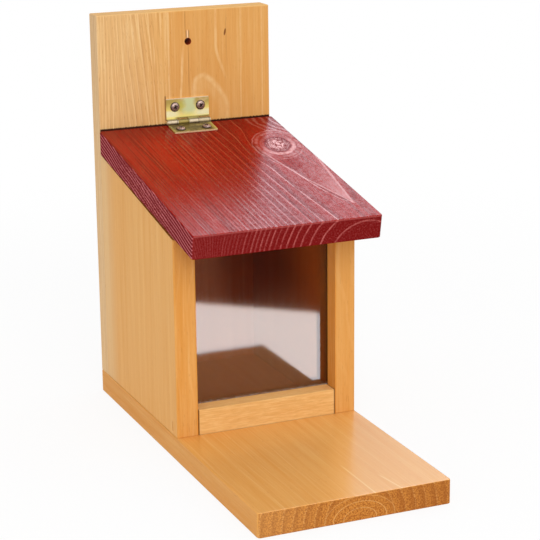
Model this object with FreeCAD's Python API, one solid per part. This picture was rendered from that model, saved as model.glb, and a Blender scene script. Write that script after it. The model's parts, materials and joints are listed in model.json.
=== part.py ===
# Squirrel feeder box: a back board and a base carry two side panels, a sill, a clear pane and a hinged lid.
# Millimetres. +Z is up, the front faces -Y, and +X is to the right of someone who looks at the front.
# The origin is on the underside of the base, on the centre plane, in line with the back board's front face.
import FreeCAD
import Part
import math
import os

V = FreeCAD.Vector
X_AXIS = V(1, 0, 0)
Y_AXIS = V(0, 1, 0)
Z_AXIS = V(0, 0, 1)

# Boards
width = 140.0                   # across the back board and both side panels
back_thickness = 17.0
back_height = 282.5             # above the top of the base
base_thickness = 17.5
platform_reach = 148.0          # how far the base runs out in front of the side panels
panel_thickness = 16.0
panel_depth = 155.0             # from the back board to the panels' front edges
panel_back_height = 176.5       # above the top of the base
panel_front_height = 146.0
sill_thickness = 13.0
sill_height = 19.0
sill_end_gap = 0.5              # open joint at each end of the sill
base_overhang = 0.5             # past the outer face of each side panel
base_corner_round = 2.5
base_edge_round = 0.9
base_chamfer = 0.4              # round the underside
back_edge_round = 0.8
panel_edge_round = 1.2
sill_edge_round = 0.8

# Hole in the back board for the nail or screw that the box hangs on
hanging_hole_diameter = 5.2
hanging_hole_height = 276.0     # above the underside of the base
hanging_hole_offset = 2.7       # right of the centre plane

# Clear pane in its grooves
pane_thickness = 3.0
pane_fit = 0.2                  # clearance in front of the pane and behind it
groove_depth = 6.0
pane_side_gap = 0.5             # from the pane's edge to the bottom of the groove
pane_to_lid = 0.1               # the lid rests on the pane's top edge

# Lid
lid_thickness = 17.5
lid_length = 200.0              # along the slope, at the top face
lid_overhang = 1.0              # past the outer face of each side panel
lid_gap_back = 1.1              # height of the crevice over the panels at the back board
lid_gap_front = 2.9             # height of the same crevice at the panels' front edges
lid_to_board = 1.0
lid_corner_round = 2.0
lid_edge_round = 0.8
lid_chamfer = 0.6               # round the underside

# Butt hinge, stamped from sheet, with knuckles rolled round a pin
hinge_width = 35.0
hinge_offset = 1.0              # right of the centre plane
leaf_length = 18.0              # from the pin's axis to the far edge of a leaf
leaf_thickness = 1.0
leaf_corner_round = 0.8
pin_diameter = 2.0
pin_clearance = 0.05            # running fit of the pin in the knuckles, on the radius
pin_head_diameter = 2.9
pin_head_height = 0.5
pin_end_play = 0.1              # from each head to the barrel's end
knuckle_count = 4
knuckle_gap = 0.2               # between neighbouring knuckles
knuckle_stand_off = 0.25        # from the rolled barrel to the wood on both sides
crank_start = 4.5               # where a leaf leaves the wood and rises to the barrel
roll_seam = 0.25                # from the end of the roll to the face of the leaf
notch_clearance = 0.6           # round the other leaf's knuckles

# Pan head screws of the hinge
hinge_screw_spacing = 21.0
hinge_screw_reach = 11.5        # from the pin's axis
hinge_screw_diameter = 3.5
hinge_screw_length = 14.0
pan_head_diameter = 7.2
pan_head_height = 2.2
pan_head_rim = 0.7              # straight side of the head, under its dome
dome_shoulder_diameter = 5.0    # where the dome's slope breaks
leaf_hole_clearance = 0.3       # round the screw in the leaf, on the radius
upper_recess_turns = (20.0, 40.0)
lid_recess_turns = (65.0, 10.0)

# Cross recess in the screw heads
recess_length = 3.8             # across two arms, at the mouth
recess_slot = 0.9
recess_depth = 1.3
recess_foot_length = 1.3        # length of each arm at the bottom of the recess

# Fit of the fasteners in the wood
screw_tip = 3.0
wood_clearance = 0.05

# Staples, the same in every joint of the boards
staple_crown = 6.9
staple_leg = 38.0
staple_wire = 1.2
staple_sink = 0.9               # the crown lies this far under the wood's face
sill_staple_from_front = 9.5    # from the panel's front edge
sill_staple_height = 6.5        # above the top of the base
base_staple_from_back = 30.0    # from the back board, along a side panel
base_staple_from_front = 30.0   # from the panel's front edge
foot_staple_spacing = 80.0      # the two between the base and the back board
back_staple_low = 40.0          # above the top of the base
back_staple_high = 136.0

# Places that follow from the sizes
half_width = width / 2
base_top = base_thickness
board_top = base_top + back_height
inner_half = half_width - panel_thickness
front_y = -panel_depth
platform_y = front_y - platform_reach
sill_back_y = front_y + sill_thickness
pane_front_y = sill_back_y + pane_fit
pane_back_y = pane_front_y + pane_thickness
panel_middle_x = half_width - panel_thickness / 2

under_lid_back = base_top + panel_back_height + lid_gap_back
under_lid_front = base_top + panel_front_height + lid_gap_front
lid_slope = math.atan2(under_lid_back - under_lid_front, panel_depth)
down_lid = V(0, -math.cos(lid_slope), -math.sin(lid_slope))
lid_normal = V(0, -math.sin(lid_slope), math.cos(lid_slope))

bore_radius = pin_diameter / 2 + pin_clearance
barrel_radius = bore_radius + leaf_thickness
axis_off_wood = barrel_radius + knuckle_stand_off
knuckle_pitch = hinge_width / knuckle_count
hinge_left = hinge_offset - hinge_width / 2


def under_lid(y):
    """Height of the lid's underside at y."""
    return under_lid_back + y * math.tan(lid_slope)


def over_lid(y):
    """Height of the lid's top face at y."""
    return under_lid(y) + lid_thickness / math.cos(lid_slope)


pin_y = -axis_off_wood
pin_z = over_lid(pin_y) + axis_off_wood / math.cos(lid_slope)
pin_axis = V(0, pin_y, pin_z)


def block(x0, x1, y0, y1, z0, z1):
    """Rectangular block between two corners."""
    return Part.makeBox(x1 - x0, y1 - y0, z1 - z0, V(x0, y0, z0))


def prism(points, x0, x1):
    """Outline of (y, z) points drawn at x0 and extruded to x1."""
    corners = [V(x0, y, z) for y, z in points]
    face = Part.Face(Part.makePolygon(corners + corners[:1]))
    return face.extrude(V(x1 - x0, 0, 0))


def edges_where(shape, wanted):
    """Edges whose two ends pass the test."""
    return [e for e in shape.Edges if all(wanted(v.Point) for v in e.Vertexes)]


def eased(shape, radius, wanted):
    """The shape with a fillet on every edge whose two ends pass the test."""
    return shape.makeFillet(radius, edges_where(shape, wanted))


def chamfered(shape, size, wanted):
    """The shape with a chamfer on every edge whose two ends pass the test."""
    return shape.makeChamfer(size, edges_where(shape, wanted))


def near(a, b):
    return abs(a - b) < 1e-6


def upright(edge):
    """True for an edge that runs straight up."""
    a, b = [v.Point for v in edge.Vertexes]
    return near(a.x, b.x) and near(a.y, b.y)


def moved(shape, place, outward, turn=0.0):
    """A shape made along +Z, turned about its axis, then aimed along outward and put in its place."""
    copy = shape.copy()
    copy.rotate(V(0, 0, 0), Z_AXIS, turn)
    aim = FreeCAD.Rotation(Z_AXIS, outward)
    copy.Placement = FreeCAD.Placement(place, aim) * copy.Placement
    return copy


def less(shape, cuts):
    """The shape after every cut."""
    for tool in cuts:
        shape = shape.cut(tool)
    return shape


# Fasteners
def revolved(points):
    """Solid of revolution about Z, inside straight lines through (radius, height) points."""
    edges = []
    for start, end in zip(points, points[1:]):
        edges.append(Part.makeLine(V(start[0], 0, start[1]), V(end[0], 0, end[1])))
    edges.append(Part.makeLine(V(points[-1][0], 0, points[-1][1]), V(points[0][0], 0, points[0][1])))
    return Part.Face(Part.Wire(edges)).revolve(V(0, 0, 0), Z_AXIS, 360)


def cross_recess(top):
    """Cross that the driver fits, with arms that slope in towards its foot, cut down from a head's top."""
    mouth = recess_length / 2
    foot = recess_foot_length / 2
    above = top + recess_depth
    outline = [(-foot, top - recess_depth), (foot, top - recess_depth), (mouth, top), (mouth, above),
               (-mouth, above), (-mouth, top)]
    arm = prism(outline, -recess_slot / 2, recess_slot / 2)
    other = arm.copy()
    other.rotate(V(0, 0, 0), Z_AXIS, 90)
    return arm.fuse(other)


def pan_head_screw():
    """Screw with its head above z = 0 and its shank below."""
    r = hinge_screw_diameter / 2
    shank = revolved([(0, -hinge_screw_length), (r, screw_tip - hinge_screw_length), (r, 0), (0, 0)])
    head_r = pan_head_diameter / 2
    dome = pan_head_height - pan_head_rim
    ball = (head_r ** 2 + dome ** 2) / (2 * dome)
    shoulder_r = dome_shoulder_diameter / 2
    shoulder = pan_head_height - ball + math.sqrt(ball ** 2 - shoulder_r ** 2)
    head = revolved([(0, 0), (head_r, 0), (head_r, pan_head_rim), (shoulder_r, shoulder), (0, pan_head_height)])
    return shank.fuse(head).cut(cross_recess(pan_head_height))


def pilot_hole():
    """Hole in the wood for one hinge screw, with its mouth past the face."""
    r = hinge_screw_diameter / 2 + wood_clearance
    end = -hinge_screw_length - wood_clearance
    return revolved([(0, end), (r, end + screw_tip), (r, leaf_thickness), (0, leaf_thickness)])


def staple(grow=0.0):
    """Staple driven down from a face at z = 0 with its crown along X, grown by a clearance."""
    half_wire = staple_wire / 2 + grow
    half_crown = staple_crown / 2 + grow
    top = grow - staple_sink
    crown = block(-half_crown, half_crown, -half_wire, half_wire, -staple_sink - staple_wire - grow, top)
    legs = []
    for end in (-1, 1):
        x = end * (staple_crown - staple_wire) / 2
        tip = -staple_sink - staple_leg - grow
        legs.append(block(x - half_wire, x + half_wire, -half_wire, half_wire, tip, top))
    return crown.multiFuse(legs).removeSplitter()


def staple_hole():
    """Hole for one staple, with the slit over its sunk crown."""
    half_wire = staple_wire / 2 + wood_clearance
    half_crown = staple_crown / 2 + wood_clearance
    slit = block(-half_crown, half_crown, -half_wire, half_wire, -staple_sink, staple_sink)
    return staple(wood_clearance).fuse(slit)


# Places of the fasteners: a point on the wood's face, the way the head or crown faces, and its turn
def sill_staple_places(side):
    """Staple through one side panel into the end of the sill."""
    point = V(side * half_width, front_y + sill_staple_from_front, base_top + sill_staple_height)
    return [(point, X_AXIS * side, 0)]


def panel_base_places(side):
    """Staples from under the base into one side panel."""
    places = (-base_staple_from_back, front_y + base_staple_from_front)
    return [(V(side * panel_middle_x, y, 0), -Z_AXIS, 90) for y in places]


def board_foot_places():
    """Staples from under the base into the foot of the back board."""
    half = foot_staple_spacing / 2
    return [(V(x, back_thickness / 2, 0), -Z_AXIS, 0) for x in (-half, half)]


def panel_back_places(side):
    """Staples from behind the back board into one side panel."""
    heights = (base_top + back_staple_low, base_top + back_staple_high)
    return [(V(side * panel_middle_x, back_thickness, z), Y_AXIS, 90) for z in heights]


def leaf_point(along, off_wood, u, w):
    """Point beside the pin, along a leaf and off the wood that the leaf lies on."""
    return pin_axis + u * along + w * (off_wood - axis_off_wood)


def hinge_screw_places(way, turns=(0, 0)):
    """Seats of the two screws on the face of one leaf."""
    u, w = way
    half = hinge_screw_spacing / 2
    seat = leaf_point(hinge_screw_reach, leaf_thickness, u, w) + V(hinge_offset, 0, 0)
    return [(seat - V(half, 0, 0), w, turns[0]), (seat + V(half, 0, 0), w, turns[1])]


upper_leaf_way = (Z_AXIS, -Y_AXIS)
lower_leaf_way = (down_lid, lid_normal)


def at_each(shape, places):
    """Copies of a shape made along +Z, one at each place."""
    return [moved(shape, point, outward, turn) for point, outward, turn in places]


def group(shape, places):
    return Part.makeCompound(at_each(shape, places))


# Boards
def back_board():
    body = block(-half_width, half_width, 0, back_thickness, base_top, board_top)
    sides = [e for e in body.Edges if upright(e)]
    body = body.makeFillet(back_edge_round, sides)
    body = eased(body, back_edge_round, lambda p: near(p.z, board_top))
    hole = Part.makeCylinder(hanging_hole_diameter / 2, back_thickness,
                             V(hanging_hole_offset, 0, hanging_hole_height), Y_AXIS)
    staples = board_foot_places() + panel_back_places(-1) + panel_back_places(1)
    screws = at_each(pilot_hole(), hinge_screw_places(upper_leaf_way))
    return less(body, [hole] + at_each(staple_hole(), staples) + screws)


def base_board():
    reach = half_width + base_overhang
    body = block(-reach, reach, platform_y, back_thickness, 0, base_top)
    corners = [e for e in body.Edges if upright(e)]
    body = body.makeFillet(base_corner_round, corners)
    body = eased(body, base_edge_round, lambda p: near(p.z, base_top))
    body = chamfered(body, base_chamfer, lambda p: near(p.z, 0))
    places = board_foot_places() + panel_base_places(-1) + panel_base_places(1)
    return less(body, at_each(staple_hole(), places))


def side_panel(side):
    """One side panel, made for the right and mirrored for the left."""
    outline = [(0, base_top), (front_y, base_top), (front_y, base_top + panel_front_height),
               (0, base_top + panel_back_height)]
    body = prism(outline, inner_half, half_width)
    body = eased(body, panel_edge_round, lambda p: near(p.y, front_y) and near(p.x, half_width))
    groove = block(inner_half - groove_depth, inner_half + groove_depth, pane_front_y - pane_fit,
                   pane_back_y + pane_fit, base_top, board_top)
    body = body.cut(groove)
    if side < 0:
        body = body.mirror(V(0, 0, 0), X_AXIS)
    places = panel_base_places(side) + panel_back_places(side) + sill_staple_places(side)
    return less(body, at_each(staple_hole(), places))


def front_sill():
    end = inner_half - sill_end_gap
    top = base_top + sill_height
    body = block(-end, end, front_y, sill_back_y, base_top, top)
    body = eased(body, sill_edge_round, lambda p: near(p.y, front_y) and near(p.z, top))
    return less(body, at_each(staple_hole(), sill_staple_places(-1) + sill_staple_places(1)))


def front_pane():
    """Clear sheet that stands on the base in both grooves and carries the lid on its top edge."""
    edge = inner_half + groove_depth - pane_side_gap
    top = under_lid(pane_front_y) - pane_to_lid
    return block(-edge, edge, pane_front_y, pane_back_y, base_top, top)


def lid_board():
    """Sloping lid, square at the front and cut plumb at the back."""
    back_y = -lid_to_board
    back_top = V(0, back_y, over_lid(back_y))
    front_top = back_top + down_lid * lid_length
    front_under = front_top - lid_normal * lid_thickness
    outline = [(back_top.y, back_top.z), (front_top.y, front_top.z), (front_under.y, front_under.z),
               (back_y, under_lid(back_y))]
    reach = half_width + lid_overhang
    body = prism(outline, -reach, reach)

    def on_top(point):
        return near((point - back_top).dot(lid_normal), 0)

    def on_underside(point):
        return near((point - front_under).dot(lid_normal), 0)

    corners = [e for e in body.Edges if on_top(e.Vertexes[0].Point) != on_top(e.Vertexes[1].Point)]
    body = body.makeFillet(lid_corner_round, corners)
    body = eased(body, lid_edge_round, on_top)
    body = chamfered(body, lid_chamfer, on_underside)
    return less(body, at_each(pilot_hole(), hinge_screw_places(lower_leaf_way)))


# Hinge
def tangent_point(far, radius):
    """Where the tangent from a point beside the barrel meets a circle round the pin, on the wood's side."""
    distance = math.hypot(far[0], far[1])
    angle = math.atan2(far[1], far[0]) - math.acos(radius / distance)
    return angle, (radius * math.cos(angle), radius * math.sin(angle))


def knuckle_span(index):
    """Left and right end of one knuckle, with half a gap at each inner end."""
    left = hinge_left + index * knuckle_pitch
    right = left + knuckle_pitch
    if index > 0:
        left += knuckle_gap / 2
    if index < knuckle_count - 1:
        right -= knuckle_gap / 2
    return left, right


def hinge_leaf(own_knuckles, way):
    """Stamped leaf: flat on the wood, cranked up to the barrel and rolled round the pin, with notches
    for the other leaf's knuckles. The profile is drawn in (along the leaf, off the pin's axis)."""
    u, w = way

    def at(point, x=hinge_left):
        return pin_axis + u * point[0] + w * point[1] + V(x, 0, 0)

    def arc(radius, start, end):
        middle = (start + end) / 2
        ends = [(radius * math.cos(a), radius * math.sin(a)) for a in (start, middle, end)]
        return Part.Arc(at(ends[0]), at(ends[1]), at(ends[2])).toShape()

    back = -axis_off_wood
    face = back + leaf_thickness
    outer_start, outer_foot = tangent_point((crank_start, back), barrel_radius)
    inner_start, inner_foot = tangent_point((crank_start, face), bore_radius)
    roll_end = math.asin((face + roll_seam) / barrel_radius) - 2 * math.pi
    outer_end = (barrel_radius * math.cos(roll_end), barrel_radius * math.sin(roll_end))
    inner_end = (bore_radius * math.cos(roll_end), bore_radius * math.sin(roll_end))
    edges = [
        Part.makeLine(at((leaf_length, back)), at((crank_start, back))),
        Part.makeLine(at((crank_start, back)), at(outer_foot)),
        arc(barrel_radius, outer_start, roll_end),
        Part.makeLine(at(outer_end), at(inner_end)),
        arc(bore_radius, roll_end, inner_start),
        Part.makeLine(at(inner_foot), at((crank_start, face))),
        Part.makeLine(at((crank_start, face)), at((leaf_length, face))),
        Part.makeLine(at((leaf_length, face)), at((leaf_length, back))),
    ]
    body = Part.Face(Part.Wire(edges)).extrude(V(hinge_width, 0, 0))

    corners = []
    for edge in body.Edges:
        ends = [v.Point - pin_axis for v in edge.Vertexes]
        along = [p.dot(u) for p in ends]
        if near(along[0], leaf_length) and near(along[1], leaf_length) and near(ends[0].x, ends[1].x):
            corners.append(edge)
    body = body.makeFillet(leaf_corner_round, corners)

    notch_edge = barrel_radius + notch_clearance
    reach = 2 * axis_off_wood
    for index in range(knuckle_count):
        if index in own_knuckles:
            continue
        left, right = knuckle_span(index)
        left -= knuckle_gap
        right += knuckle_gap
        outline = [(-reach, -reach), (notch_edge, -reach), (notch_edge, reach), (-reach, reach)]
        corners = [at(point, left) for point in outline]
        notch = Part.Face(Part.makePolygon(corners + corners[:1])).extrude(V(right - left, 0, 0))
        body = body.cut(notch)

    hole_radius = hinge_screw_diameter / 2 + leaf_hole_clearance
    hole = Part.makeCylinder(hole_radius, 4 * leaf_thickness, V(0, 0, -2 * leaf_thickness))
    return less(body, at_each(hole, hinge_screw_places(way)))


def hinge_pin():
    """Pin with a low peened head past each end of the barrel."""
    start = pin_axis + V(hinge_left - pin_end_play, 0, 0)
    end = start + V(hinge_width + 2 * pin_end_play, 0, 0)
    small_r = pin_diameter / 2
    head_r = pin_head_diameter / 2
    shaft = Part.makeCylinder(small_r, (end - start).Length, start, X_AXIS)
    left = Part.makeCone(head_r, small_r, pin_head_height, start, -X_AXIS)
    right = Part.makeCone(head_r, small_r, pin_head_height, end, X_AXIS)
    return shaft.multiFuse([left, right]).removeSplitter()


upper_knuckles = range(0, knuckle_count, 2)
lower_knuckles = range(1, knuckle_count, 2)

nodes = {
    "back_board": back_board(),
    "base_board": base_board(),
    "left_side_panel": side_panel(-1),
    "right_side_panel": side_panel(1),
    "front_sill": front_sill(),
    "front_pane": front_pane(),
    "lid_board": lid_board(),
    "hinge_upper_leaf": hinge_leaf(upper_knuckles, upper_leaf_way),
    "hinge_lower_leaf": hinge_leaf(lower_knuckles, lower_leaf_way),
    "hinge_pin": hinge_pin(),
    "upper_leaf_screws": group(pan_head_screw(), hinge_screw_places(upper_leaf_way, upper_recess_turns)),
    "lid_leaf_screws": group(pan_head_screw(), hinge_screw_places(lower_leaf_way, lid_recess_turns)),
    "left_sill_staple": group(staple(), sill_staple_places(-1)),
    "right_sill_staple": group(staple(), sill_staple_places(1)),
    "left_panel_base_staples": group(staple(), panel_base_places(-1)),
    "right_panel_base_staples": group(staple(), panel_base_places(1)),
    "back_board_foot_staples": group(staple(), board_foot_places()),
    "left_panel_back_staples": group(staple(), panel_back_places(-1)),
    "right_panel_back_staples": group(staple(), panel_back_places(1)),
}

os.makedirs("parts", exist_ok=True)
for name, shape in nodes.items():
    print(name, "solids", len(shape.Solids), "valid", shape.isValid(), "volume", round(shape.Volume, 1))
    shape.exportStep("parts/" + name + ".step")
print("lid slope", round(math.degrees(lid_slope), 2), "pin at y", round(pin_y, 3), "z", round(pin_z, 3))
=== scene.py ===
import json
import math
from collections import namedtuple

import bmesh
import bpy
from mathutils import Matrix, Vector


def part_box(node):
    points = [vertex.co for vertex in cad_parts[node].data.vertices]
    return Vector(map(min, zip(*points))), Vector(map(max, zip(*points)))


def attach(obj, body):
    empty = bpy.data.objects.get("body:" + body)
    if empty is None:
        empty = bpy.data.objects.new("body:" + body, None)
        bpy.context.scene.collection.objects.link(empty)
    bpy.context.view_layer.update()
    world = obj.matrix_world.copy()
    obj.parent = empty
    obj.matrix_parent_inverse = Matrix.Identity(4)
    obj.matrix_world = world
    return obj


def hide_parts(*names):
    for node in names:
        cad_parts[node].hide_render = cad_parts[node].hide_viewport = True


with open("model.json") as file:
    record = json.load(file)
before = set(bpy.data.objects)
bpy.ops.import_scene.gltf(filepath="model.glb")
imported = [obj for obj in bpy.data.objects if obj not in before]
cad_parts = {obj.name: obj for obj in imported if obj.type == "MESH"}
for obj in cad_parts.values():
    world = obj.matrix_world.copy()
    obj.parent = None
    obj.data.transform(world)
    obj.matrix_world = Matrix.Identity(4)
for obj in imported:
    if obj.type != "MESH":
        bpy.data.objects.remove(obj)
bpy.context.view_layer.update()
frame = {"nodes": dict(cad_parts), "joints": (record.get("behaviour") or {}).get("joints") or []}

bl_info = {
    "name": "Squirrel feeder box",
    "version": (1, 0, 0),
    "blender": (4, 5, 0),
    "location": "View3D > Sidebar > Feeder",
    "description": "Dresses the feeder's boards, pane, hinge and fasteners and sets up its stage",
    "category": "Object",
}

MM = 0.001
UPPER_OUT = Vector((0, -1, 0))  # the way that the upper leaf faces

# Sizes and places of the pieces, in millimetres
BACK_HALF, BACK_TOP = 70, 300
HOLE_X, HOLE_Z, HOLE_RADIUS = 2.7, 276, 2.6
LID_LINE = 213.3  # where the lid's upper face meets the back board
LEAF_LEFT = -16.5
BASE_HALF, BASE_FRONT, BASE_TOP = 70.5, -303, 17.5
BASE_PITH = 2.6  # across the base's sawn end
PANEL_INNER, PANEL_OUTER, PANEL_FRONT = 54, 70, -155
KNUCKLE = 8.75  # length of one knuckle
SHANK_RADIUS = 1.75  # of a hinge screw


def shade(red, green, blue):
    """Linear colour of an ordinary 0 to 255 screen colour."""
    parts = [part / 255 for part in (red, green, blue)]
    return tuple(p / 12.92 if p <= 0.04045 else ((p + 0.055) / 1.055) ** 2.4 for p in parts)


def tint(name, description, screen):
    return bpy.props.FloatVectorProperty(
        name=name, description=description, subtype="COLOR", size=3, min=0, max=1, default=shade(*screen))


def length(name, description, millimetres):
    return bpy.props.FloatProperty(
        name=name, description=description, subtype="DISTANCE", unit="LENGTH", default=millimetres * MM)


def number(name, description, value):
    return bpy.props.FloatProperty(name=name, description=description, default=value)


def angle(name, description, degrees):
    return bpy.props.FloatProperty(
        name=name, description=description, subtype="ANGLE", unit="ROTATION", default=math.radians(degrees))


# Shader maths
def maths(operation, swapped=False):
    """Method that puts a Math node of that operation on the socket and the other values."""
    def method(self, *others):
        values = (*others, self) if swapped else (self, *others)
        return self.paint.node("ShaderNodeMath", {"operation": operation}, dict(enumerate(values)))

    return method


class Sock:
    """One output of a node. Arithmetic on it adds Math nodes."""

    def __init__(self, paint, socket):
        self.paint = paint
        self.socket = socket

    __add__ = __radd__ = maths("ADD")
    __sub__ = maths("SUBTRACT")
    __rsub__ = maths("SUBTRACT", swapped=True)
    __mul__ = __rmul__ = maths("MULTIPLY")
    __truediv__ = maths("DIVIDE")
    __rtruediv__ = maths("DIVIDE", swapped=True)
    __pow__ = maths("POWER")
    __rpow__ = maths("POWER", swapped=True)
    __abs__ = maths("ABSOLUTE")
    root = maths("SQRT")
    floor = maths("FLOOR")
    fraction = maths("FRACT")
    least = maths("MINIMUM")
    most = maths("MAXIMUM")

    def rise(self, low, high):
        """0 below low, 1 above high and a smooth step between them."""
        return self.paint.node(
            "ShaderNodeMapRange", {"interpolation_type": "SMOOTHSTEP"},
            {"Value": self, "From Min": low, "From Max": high})

    def fall(self, low, high):
        return 1 - self.rise(low, high)

    def band(self, low, high, soft):
        """1 between low and high, with soft ends."""
        return self.rise(low - soft, low + soft) * self.fall(high - soft, high + soft)


class Paint:
    """Node tree of one material or of the world."""

    def __init__(self, owner):
        owner.use_nodes = True
        self.owner = owner
        self.tree = owner.node_tree
        self.tree.nodes.clear()

    def node(self, kind, settings=(), inputs=(), output=0):
        """Adds a node, applies its settings, fills its sockets, and gives one output, or all where output is None."""
        node = self.tree.nodes.new(kind)
        for key, value in dict(settings).items():
            setattr(node, key, value)
        for key, value in dict(inputs).items():
            if isinstance(value, Sock):
                self.tree.links.new(value.socket, node.inputs[key])
            else:
                node.inputs[key].default_value = value
        if output is None:
            return [Sock(self, socket) for socket in node.outputs]
        return Sock(self, node.outputs[output]) if node.outputs else None

    def axes(self, vector):
        """x, y and z of a vector."""
        return self.node("ShaderNodeSeparateXYZ", (), {0: vector}, None)

    def place(self):
        """x, y and z of the shaded point in millimetres, in the piece's own frame."""
        point = self.node("ShaderNodeTexCoord", output="Object")
        return self.axes(self.node("ShaderNodeVectorMath", {"operation": "SCALE"}, {0: point, "Scale": 1 / MM}))

    def facing(self):
        """x, y and z of the surface's direction in the piece's own frame."""
        return self.axes(self.node("ShaderNodeTexCoord", output="Normal"))

    def noise(self, x, y, z, detail=2, roughness=0.5):
        """Smooth noise between 0 and 1, mostly near a half."""
        point = self.node("ShaderNodeCombineXYZ", (), {0: x, 1: y, 2: z})
        return self.node(
            "ShaderNodeTexNoise", (), {"Vector": point, "Scale": 1, "Detail": detail, "Roughness": roughness})

    def chance(self, value):
        """An even random number for each whole value."""
        return self.node("ShaderNodeTexWhiteNoise", {"noise_dimensions": "1D"}, {"W": value})

    def mix(self, factor, first, second):
        """Colour between two colours."""
        first, second = [c if isinstance(c, Sock) else (*c, 1) for c in (first, second)]
        return self.node("ShaderNodeMix", {"data_type": "RGBA"}, {0: factor, 6: first, 7: second}, 2)

    def over(self, colour, *coats):
        """The colour under coats of (factor, colour), the last of them on top."""
        for factor, coat in coats:
            colour = self.mix(factor, colour, coat)
        return colour

    def blend(self, factor, first, second):
        """Shader between two shaders."""
        return self.node("ShaderNodeMixShader", (), {0: factor, 1: first, 2: second})

    def bump(self, height, depth):
        """Normal of a surface with that relief, its depth in millimetres."""
        return self.node("ShaderNodeBump", (), {"Height": height, "Distance": depth * MM, "Strength": 1})

    def close(self, surface, kind="ShaderNodeOutputMaterial"):
        self.node(kind, (), {"Surface": surface})
        return self.owner

    def gloss(self, **sockets):
        """Principled surface; a socket's name is written with _ for its spaces."""
        return self.node(
            "ShaderNodeBsdfPrincipled", (), {key.replace("_", " "): value for key, value in sockets.items()})


def distance(*offsets):
    """Straight distance over offsets along the axes."""
    first, *others = [offset * offset for offset in offsets]
    for square in others:
        first = first + square
    return first.root()


def oval(x, y, middle, half):
    """Squared distance from an oval's middle, where 1 is its rim."""
    aside, along = (x - middle[0]) / half[0], (y - middle[1]) / half[1]
    return aside * aside + along * along


def new_paint(name):
    return Paint(bpy.data.materials.new(name))


def wear(piece, material):
    """The piece shows that material and no other."""
    piece.data.materials.clear()
    piece.data.materials.append(material)


def dress(node, material):
    """A carried-over CAD node gets that material."""
    wear(frame["nodes"][node], material)


# Wood
# across and depth place the pith, span and crowd space the rings, wander and ripple bend them, and line is how
# wide a ring's line is, all in millimetres but crowd. seed picks the noise.
Log = namedtuple("Log", "across depth span crowd wander ripple line seed")
# Masks of a board's surface
Grain = namedtuple("Grain", "line hollow fibre hair streak pore fleck end")


def grow(paint, across, along, depth, facing, log, climb=0, lean=0, bend=0):
    """Masks of a sawn board: growth rings round a pith, fibres, streaks, pores and the flecks of its ends.
    Lengths are in millimetres and facing is the surface's direction along the fibres. climb brings the pith
    nearer along the board, lean is its slope, and bend pushes the rings aside."""
    seed = log.seed
    wander = (paint.noise(across * 0.01, along * 0.006, seed) - 0.5) * log.wander
    ripple = (paint.noise(across * 0.055, along * 0.012, depth * 0.055 + seed, 3) - 0.5) * log.ripple
    beside = across - log.across + wander
    above = depth - log.depth + climb
    radius = (distance(beside, above) + ripple + bend).most(0.5)
    rings = (radius / log.span) ** log.crowd
    end = abs(facing).rise(0.6, 0.85)
    steep = (beside * beside / (radius * radius) + lean * lean).root().most(0.08).most(end)
    before = (1 - rings.fraction()) * radius / (rings * steep * log.crowd)
    ring = paint.chance(rings.floor() + seed)
    broken = paint.noise(across * 0.3, along * 0.03, depth * 0.3 + seed, 3).rise(0.3, 0.56) * 0.7 + 0.3
    line = before.fall(log.line * 0.3, log.line) * (ring * 0.7 + 0.3) * broken
    hollow = before.fall(log.line, log.line * 4.5) * before.rise(log.line * 0.3, log.line)
    fibre = paint.noise(across * 0.75, along * 0.022, depth * 0.75 + seed, 5, 0.7)
    hair = paint.noise(across * 0.78, along * 0.016, depth * 0.78 - seed, 3, 0.65)
    streak = paint.noise(across * 0.13, along * 0.004, depth * 0.13 + seed, 3, 0.6)
    pore = paint.noise(across * 1.5, along * 0.16, depth * 1.5 + seed, 1).rise(0.66, 0.74)
    fleck = paint.noise(across * 0.85, seed, depth * 0.85, 4, 0.65)
    return Grain(line, hollow, fibre, hair, streak, pore, fleck, end)


def pine_colour(paint, look, grain, warmth, show, vary):
    """Colour of clear oiled pine. warmth runs from 0 for pale to 1 for warm, show is how far lines and hairs
    stand out, and vary is how much the ground drifts."""
    nap = show * 0.42 + 0.12
    body = paint.over(
        look.pale,
        ((grain.streak - 0.5) * vary + warmth, look.warm),
        (grain.fibre.rise(0.5, 0.74) * nap, look.light),
        (grain.fibre.fall(0.28, 0.48) * nap * 0.7, look.dark),
        (grain.hollow * show * 0.22, look.dark),
        (grain.hair.fall(0.36, 0.44) * show * 0.4, look.dark),
        (grain.hair.rise(0.54, 0.6) * show * 0.6, look.line),
        (grain.line * show, look.line),
        (grain.pore * (show * 0.5 + 0.2), look.dark))
    sawn = paint.over(
        look.end,
        (grain.line * 0.35, look.end_line),
        (grain.hollow * 0.42, look.end_dark),
        (grain.fleck.rise(0.44, 0.6) * 0.75, look.end_dark))
    return paint.mix(grain.end, body, sawn)


def pine_close(paint, look, grain, colour, oil):
    """Matt pine with a film of oil where oil says."""
    relief = grain.line * 0.5 + grain.fibre * 0.6 - grain.pore * 0.4
    rough = grain.end * 0.2 + grain.streak * 0.12 - grain.line * 0.05 + look.roughness
    return paint.close(paint.gloss(
        Base_Color=colour, Roughness=rough, Normal=paint.bump(relief, 0.07), Specular_IOR_Level=0.12,
        Coat_Weight=oil, Coat_Roughness=look.oil_roughness))


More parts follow.
